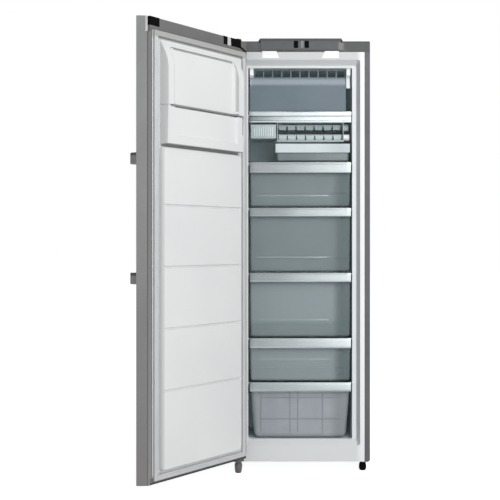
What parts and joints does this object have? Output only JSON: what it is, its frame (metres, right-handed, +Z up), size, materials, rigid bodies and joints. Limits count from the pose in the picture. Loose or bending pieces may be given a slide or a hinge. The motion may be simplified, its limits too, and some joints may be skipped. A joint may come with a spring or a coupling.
{
  "type": "upright freezer cabinet",
  "caption": "Tall single-door upright freezer cabinet with drawers, ice trays and a covered top compartment, door open.",
  "frame": {"origin": "on the floor, under the middle of the floor space taken by the cabinet and its open door", "axes": "+Z up, +X to the viewer's right, +Y from the front of the appliance towards its back"},
  "size_m": [0.9739, 1.1242, 1.855],
  "materials": {
    "steel": "satin",
    "white_liner": "satin",
    "insulation": "foamed",
    "galvanised": "matte",
    "dark_fascia": "satin",
    "black_plastic": "matte",
    "white_plastic": "satin",
    "display": "gloss",
    "hinge_steel": "satin",
    "compressor_black": "satin",
    "copper": "satin",
    "coil": "satin",
    "glass": "clear",
    "clear_drawer": "translucent",
    "satin_strip": "satin",
    "seal": "matte",
    "handle": "satin"
  },
  "bodies": {
    "cabinet": {"cabinet_wrap": "steel", "inner_liner": "white_liner", "cabinet_foam": "insulation", "base_pan": "galvanised", "back_panel": "galvanised", "header_fascia": "dark_fascia", "header_cover": "dark_fascia", "header_pads": "white_plastic", "control_display": "display", "top_hinge_bracket": "hinge_steel", "hinge_cover": "black_plastic", "bottom_hinge_bracket": "hinge_steel", "hinge_pins": "hinge_steel", "front_feet": "black_plastic", "rear_feet": "black_plastic", "machine_tray": "galvanised", "compressor": "compressor_black", "relay_cover": "black_plastic", "drip_tray": "black_plastic", "refrigerant_pipes": "copper", "mains_inlet": "black_plastic", "duct_cover": "white_liner", "fan_motor": "black_plastic", "evaporator_coil": "coil", "glass_shelves": "glass", "top_shelf_trim": "satin_strip", "flap_clips": "white_plastic", "ice_frame": "clear_drawer"},
    "power_button": {"power_button": "black_plastic"},
    "fast_freeze_button": {"fast_freeze_button": "black_plastic"},
    "fan": {"fan_wheel": "white_plastic"},
    "compartment_flap": {"freezer_flap": "clear_drawer"},
    "lower_tray": {"lower_ice_tray": "clear_drawer", "lower_tray_knob": "white_plastic"},
    "upper_tray": {"upper_ice_tray": "clear_drawer", "upper_tray_knob": "white_plastic"},
    "ice_bin": {"ice_bin": "clear_drawer", "ice_bin_strip": "satin_strip"},
    "slide_box": {"slide_box": "white_plastic"},
    "drawer_1": {"drawer_1": "clear_drawer", "drawer_strip_1": "satin_strip"},
    "drawer_2": {"drawer_2": "clear_drawer", "drawer_strip_2": "satin_strip"},
    "drawer_3": {"drawer_3": "clear_drawer", "drawer_strip_3": "satin_strip"},
    "drawer_4": {"drawer_4": "clear_drawer", "drawer_strip_4": "satin_strip"},
    "drawer_5": {"drawer_5": "clear_drawer", "drawer_strip_5": "satin_strip"},
    "door": {"door_skin": "steel", "door_top_cap": "dark_fascia", "door_bottom_cap": "dark_fascia", "hinge_blocks": "black_plastic", "door_liner": "white_liner", "door_foam": "insulation", "door_gasket": "seal", "door_pocket": "white_liner", "handle_brackets": "handle", "handle_bar": "handle"},
    "door_flap": {"door_flap": "white_liner"}
  },
  "joints": [
    {"name": "door_hinge", "type": "hinge", "parent": "cabinet", "child": "door", "pos_m": [-0.08084, -0.08793, 0], "axis": [0, 0, 1], "range_deg": [-7.65, 127.35]},
    {"name": "compartment_flap_hinge", "type": "hinge", "parent": "cabinet", "child": "compartment_flap", "pos_m": [0.19217, 0.01007, 1.721], "axis": [1, 0, 0], "range_deg": [-90, 0]},
    {"name": "door_flap_hinge", "type": "hinge", "parent": "door", "child": "door_flap", "pos_m": [-0.20894, -0.33358, 1.7165], "axis": [0.6067, 0.7949, 0], "range_deg": [-95, 0]},
    {"name": "drawer_1_slide", "type": "slide", "parent": "cabinet", "child": "drawer_1", "axis": [0, 1, 0], "range_m": [-0.33, 0]},
    {"name": "drawer_2_slide", "type": "slide", "parent": "cabinet", "child": "drawer_2", "axis": [0, 1, 0], "range_m": [-0.33, 0]},
    {"name": "drawer_3_slide", "type": "slide", "parent": "cabinet", "child": "drawer_3", "axis": [0, 1, 0], "range_m": [-0.33, 0]},
    {"name": "drawer_4_slide", "type": "slide", "parent": "cabinet", "child": "drawer_4", "axis": [0, 1, 0], "range_m": [-0.33, 0]},
    {"name": "drawer_5_slide", "type": "slide", "parent": "cabinet", "child": "drawer_5", "axis": [0, 1, 0], "range_m": [-0.24, 0]},
    {"name": "ice_bin_slide", "type": "slide", "parent": "cabinet", "child": "ice_bin", "axis": [0, 1, 0], "range_m": [-0.19, 0]},
    {"name": "slide_box_slide", "type": "slide", "parent": "cabinet", "child": "slide_box", "axis": [0, 1, 0], "range_m": [-0.15, 0]},
    {"name": "lower_tray_twist", "type": "hinge", "parent": "cabinet", "child": "lower_tray", "pos_m": [0.19217, 0.02407, 1.437], "axis": [1, 0, 0], "range_deg": [-150, 0]},
    {"name": "upper_tray_twist", "type": "hinge", "parent": "cabinet", "child": "upper_tray", "pos_m": [0.19217, 0.06407, 1.484], "axis": [1, 0, 0], "range_deg": [-150, 0]},
    {"name": "power_button_press", "type": "slide", "parent": "cabinet", "child": "power_button", "axis": [0, 1, 0], "range_m": [0, 0.0015], "stiffness_N_per_m": 200},
    {"name": "fast_freeze_button_press", "type": "slide", "parent": "cabinet", "child": "fast_freeze_button", "axis": [0, 1, 0], "range_m": [0, 0.0015], "stiffness_N_per_m": 200},
    {"name": "fan_spin", "type": "hinge", "parent": "cabinet", "child": "fan", "pos_m": [0.19217, 0.48307, 1.61], "axis": [0, 1, 0], "continuous": true}
  ]
}
